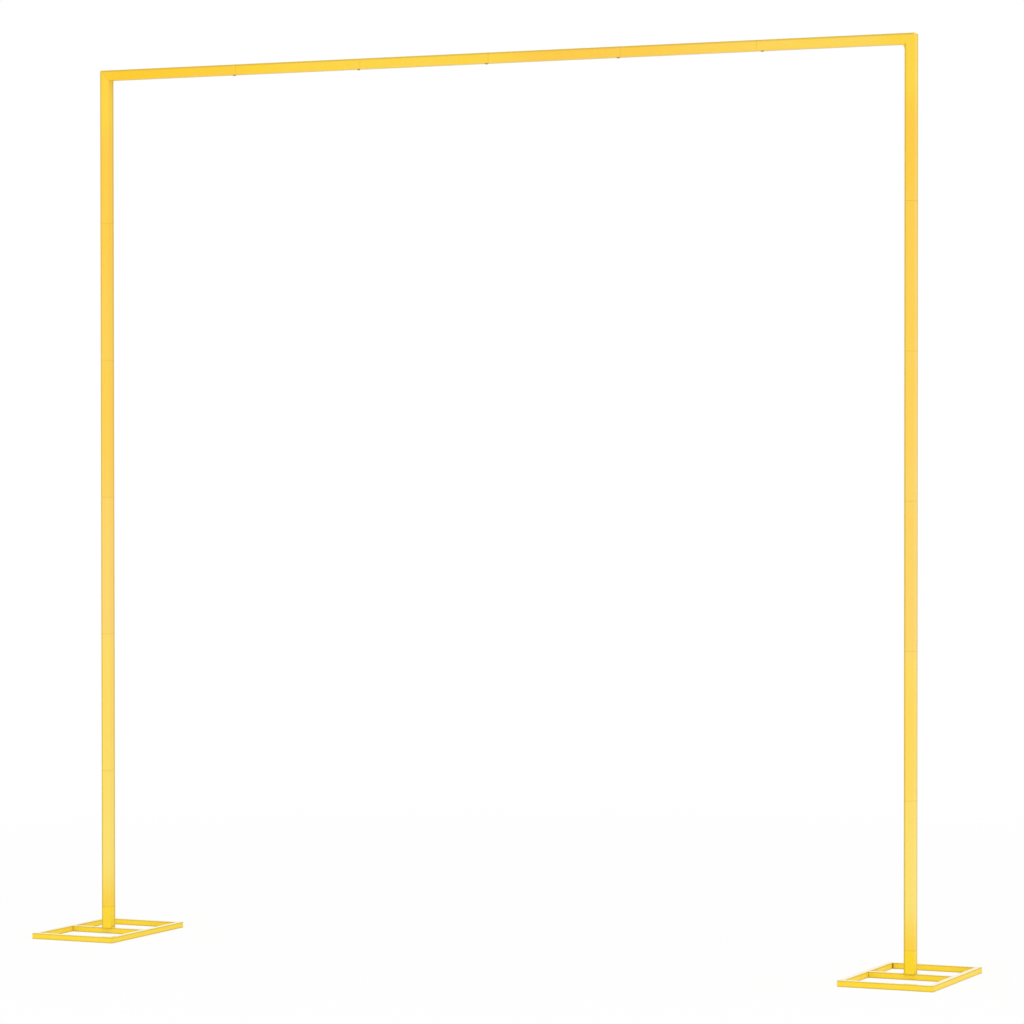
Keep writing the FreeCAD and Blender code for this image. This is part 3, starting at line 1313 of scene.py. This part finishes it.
@dataclass
class Screws:
    """Pan head screws with a cross recess, one for each seat, joined as one piece."""

    node: str
    seats: list[ScrewSeat]
    finish: Finish
    head_radius: float = 5.0 * MM
    head_height: float = 3.5 * MM
    crown: float = 0.7 * MM
    crown_steps: int = 22
    rim_radius: float = 1.3 * MM
    rim_steps: int = 7
    rim_margin: float = 0.2 * MM
    shank_radius: float = 2.5 * MM
    shank_length: float = 8.0 * MM
    tip_chamfer: float = 0.4 * MM
    recess_reach: float = 2.8 * MM
    recess_fade: float = 0.98 * MM
    recess_half_width: float = 0.62 * MM
    recess_wall: float = 0.5
    recess_depth: float = 1.8 * MM
    rubbed_depths: tuple[float, float] = (0.02, 0.6)
    around: int = 64

    def profile(self) -> tuple[Array, Array, Array]:
        """Outline of the screw from the middle of its head to its tip.

        The crown falls by crown * (r / head radius) squared, the rim is a quarter
        circle, and straight lines follow the seat, the shank and the tip.

        Returns:
            Radius, height above the seat and rim mark of each ring.
        """
        flat = self.head_radius - self.rim_radius
        crown_r = np.linspace(0.0, flat, self.crown_steps)
        crown_z = self.head_height - self.crown * (crown_r / self.head_radius) ** 2
        turn = np.linspace(0.0, QUARTER, self.rim_steps)[1:]
        rim_r = flat + self.rim_radius * np.sin(turn)
        rim_z = crown_z[-1] - self.rim_radius * (1 - np.cos(turn))
        shank, tip, chamfer = self.shank_radius, -self.shank_length, self.tip_chamfer
        below_r = [self.head_radius, shank, shank, shank - chamfer, 0.0]
        radius = np.concatenate([crown_r, rim_r, below_r])
        height = np.concatenate([crown_z, rim_z, [0.0, 0.0, tip + chamfer, tip, tip]])
        on_rim = (radius > flat - self.rim_margin) & (height > self.head_height / 2)
        return radius, height, on_rim.astype(float)

    def one(self, seat: ScrewSeat) -> Surface:
        """One screw on its seat.

        The height drops inside the recess, a cross of two bars, by its depth, faded by the
        distances from the nearer bar's middle line and from the screw's axis.

        Args:
            seat: Where its head sits.

        Returns:
            Its surface.
        """
        radius, height, rim = (values[:, None] for values in self.profile())
        turn = np.linspace(0.0, 2 * math.pi, self.around, endpoint=False)
        x, y = radius * np.cos(turn), radius * np.sin(turn)
        from_bar = np.minimum(np.abs(x), np.abs(y)) / self.recess_half_width
        wing = np.clip((1 + self.recess_wall / 2 - from_bar) / self.recess_wall, 0, 1)
        reach = np.clip((self.recess_reach - radius) / self.recess_fade, 0, 1)
        on_head = height > self.head_height / 2
        depth = wing * reach
        least, most = self.rubbed_depths
        rubbed = on_head * (depth > least) * (depth < most)
        first = np.cross(seat.face, RIGHT)
        axes = np.stack([first, np.cross(seat.face, first), seat.face])
        above = height - self.recess_depth * depth * on_head
        points = seat.point + np.stack([x, y, above], -1) @ axes
        return poled_grid(points, {Mark.RUB: np.maximum(rim, rubbed.astype(float))})

    def build(self) -> None:
        """Builds all screws of the set."""
        screws = joined([self.one(seat) for seat in self.seats])
        make_piece(f"steel_{self.node}", screws, self.finish, self.node)


def facing(position: Vector, forward: Vector, roll: float = 0.0) -> Matrix:
    """World matrix of a lamp or camera: its place, the way it looks and its roll in radians."""
    turn = forward.to_track_quat("-Z", "Y").to_matrix().to_4x4()
    return Matrix.Translation(position) @ turn @ Matrix.Rotation(roll, 4, "Z")


@dataclass(frozen=True)
class Softbox:
    """A square area lamp that looks at the middle of the arch."""

    name: str
    position: Vector
    size: float
    power: float
    target: Vector = Vector((0.0, 0.0, 1.5)).freeze()

    def build(self) -> None:
        """Adds the lamp to the scene."""
        lamp = bpy.data.lights.new(self.name, "AREA")
        lamp.shape, lamp.size, lamp.energy = "SQUARE", self.size, self.power
        holder = add_object(self.name, lamp)
        holder.matrix_world = facing(self.position, self.target - self.position)
        holder.visible_camera = False


@dataclass(frozen=True)
class Studio:
    """White floor and surroundings, soft lamps and the photograph's camera."""

    softboxes: tuple[Softbox, ...] = (
        Softbox("key_softbox", Vector((-5.0, -9.5, 2.2)), size=5.0, power=142.0),
        Softbox("side_softbox", Vector((10.5, -3.0, 2.8)), size=5.0, power=184.0),
        Softbox("top_softbox", Vector((0.0, -2.0, 16.0)), size=10.0, power=700.0),
    )
    floor_half: float = 45.0
    floor_drop: float = 0.3 * MM
    floor_white: Colour = (0.95, 0.95, 0.95, 1.0)
    shadow_share: float = 0.2
    clear_from: float = 1.5
    clear_over: float = 4.5
    sky_strength: float = 0.72
    camera_position: tuple[float, float, float] = (5.5239, -11.9319, 1.6974)
    camera_yaw: float = -24.5279
    camera_pitch: float = -0.8980
    camera_roll: float = -0.0327
    camera_lens: float = 137.697
    sensor_width: float = 36.0
    camera_clip: tuple[float, float] = (0.1, 200.0)

    def build(self) -> None:
        """Builds the floor, the world, the lamps and the camera."""
        self._floor()
        self._world()
        for softbox in self.softboxes:
            softbox.build()
        self._camera()
        bpy.context.scene.view_settings.view_transform = "Standard"

    @staticmethod
    def _seen(graph: Graph) -> Signal:
        """1 for rays that come from the camera straight, by reflection or by transmission."""
        camera, glossy, through = (
            graph.add("ShaderNodeLightPath", output=f"Is {kind} Ray")
            for kind in ("Camera", "Glossy", "Transmission")
        )
        return (camera + glossy + through).clamped()

    def _floor(self) -> None:
        """A wide floor that keeps a soft shadow near the arch and is white further off."""
        corners = self.floor_half * np.array([[-1, -1], [1, -1], [1, 1], [-1, 1]])
        mesh = bpy.data.meshes.new("studio_floor")
        mesh.from_pydata([(x, y, -self.floor_drop) for x, y in corners], [], [(0, 1, 2, 3)])
        material = bpy.data.materials.new("studio_floor")
        graph = Graph(material)
        length = {"operation": "LENGTH"}
        distance = graph.add("ShaderNodeVectorMath", length, {0: graph.place()}, "Value")
        clear = ((distance - self.clear_from) * (1 / self.clear_over)).clamped()
        white_share = 1 - (1 - clear) * self.shadow_share
        matt = graph.add("ShaderNodeBsdfDiffuse", {}, {"Color": self.floor_white})
        glow = graph.add("ShaderNodeEmission", {}, {"Color": WHITE, "Strength": 1.0})
        factor = self._seen(graph) * white_share
        graph.show(graph.add("ShaderNodeMixShader", {}, {0: factor, 1: matt, 2: glow}))
        mesh.materials.append(material)
        add_object("studio_floor", mesh)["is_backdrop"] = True

    def _world(self) -> None:
        """White surroundings for the eye and a softer white for the light they give."""
        world = bpy.data.worlds.new("studio_world")
        graph = Graph(world)
        light, seen = (
            graph.add("ShaderNodeBackground", {}, {"Color": WHITE, "Strength": strength})
            for strength in (self.sky_strength, 1.0)
        )
        both = graph.add("ShaderNodeMixShader", {}, {0: self._seen(graph), 1: light, 2: seen})
        graph.show(both, "ShaderNodeOutputWorld")
        bpy.context.scene.world = world

    def _camera(self) -> None:
        """The camera at the place and angle that the photograph was taken from."""
        lens = bpy.data.cameras.new("photo_camera")
        lens.sensor_width, lens.lens = self.sensor_width, self.camera_lens
        lens.clip_start, lens.clip_end = self.camera_clip
        yaw, pitch, roll = np.radians([self.camera_yaw, self.camera_pitch, self.camera_roll])
        forward = Vector((math.sin(yaw), math.cos(yaw), math.tan(pitch)))
        camera = add_object("photo_camera", lens)
        camera.matrix_world = facing(Vector(self.camera_position), forward, roll)
        bpy.context.scene.camera = camera


def write_sizes() -> None:
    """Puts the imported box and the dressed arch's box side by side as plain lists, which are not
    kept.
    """
    boxes = {"cad": cad_bounds, "visual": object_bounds()}
    plain = {name: [list(corner) for corner in box] for name, box in boxes.items()}


def main() -> None:
    """Builds the dressed arch and its studio in order."""
    logging.basicConfig(level=logging.INFO, format="%(message)s")
    finishes = Finishes()
    tube_stock = SquareStock(size=35 * MM, wall=1.0 * MM, corner_radius=2.0 * MM)
    bar_stock = SquareStock(size=20 * MM, wall=1.2 * MM, corner_radius=1.5 * MM)
    tubes, bars = TubeMaker(tube_stock, tip_rounding=5.0 * MM), TubeMaker(bar_stock)
    tones = section_tones()
    inner_legs = {Side.LEFT: 4.0 * MM, Side.RIGHT: 18.0 * MM}
    scorched_corners = {Side.RIGHT: (-1, 1)}
    for side in Side:
        BaseFrame(side, bars, tubes, finishes, scorched_corners.get(side)).build()
        seats = Post(side, tubes, finishes.post_paint, tones).build()
        Screws(f"{side.label}_post_screws", seats, finishes.screw_steel).build()
        CornerWelds(side, finishes.beam_paint, Fillet(ripple=0.06, leg=inner_legs[side])).build()
    seats = Beam(tubes, finishes.beam_paint, tones).build()
    Screws("beam_screws", seats, finishes.screw_steel).build()
    Studio().build()
    shown = [name for name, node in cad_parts.items() if not node.hide_render]
    log.info("%d packed solids, %d of them still shown", len(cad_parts), len(shown))
    write_sizes()


if __name__ == "__main__":
    main()
